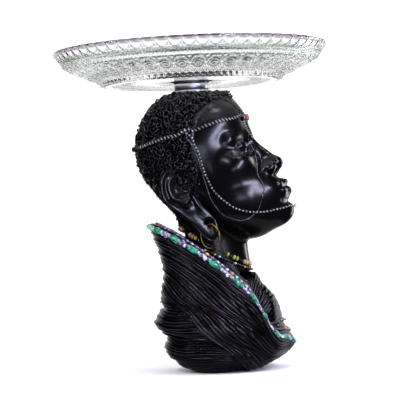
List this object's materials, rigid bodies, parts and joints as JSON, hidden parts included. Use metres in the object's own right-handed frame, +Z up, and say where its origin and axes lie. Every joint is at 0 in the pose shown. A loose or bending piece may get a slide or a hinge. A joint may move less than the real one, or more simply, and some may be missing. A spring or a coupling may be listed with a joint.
{
  "type": "bust of a woman carrying a glass bowl",
  "caption": "Table bust of a woman in a corded shawl with beaded trim, her raised head carrying a shallow pressed glass bowl on a metal seat.",
  "frame": {"origin": "on the ground, under the centre of the bowl", "axes": "+Z up, +X the way the face looks, +Y towards the figure's left"},
  "size_m": [0.28, 0.28, 0.33],
  "materials": {
    "dark_resin": "cast resin, glossy near-black skin, matt corded shawl, painted bead trim",
    "silver_chain": "small bright links",
    "gold_wire": "polished gilt wire",
    "turned_aluminium": "bright turned metal",
    "pressed_glass": "clear pressed glass with a pale grey-green tint"
  },
  "bodies": {
    "root": {"bust": "dark_resin", "chain_headpiece": "silver_chain", "earring_right": "gold_wire", "earring_left": "gold_wire", "bowl_seat": "turned_aluminium", "glass_bowl": "pressed_glass"}
  },
  "joints": []
}
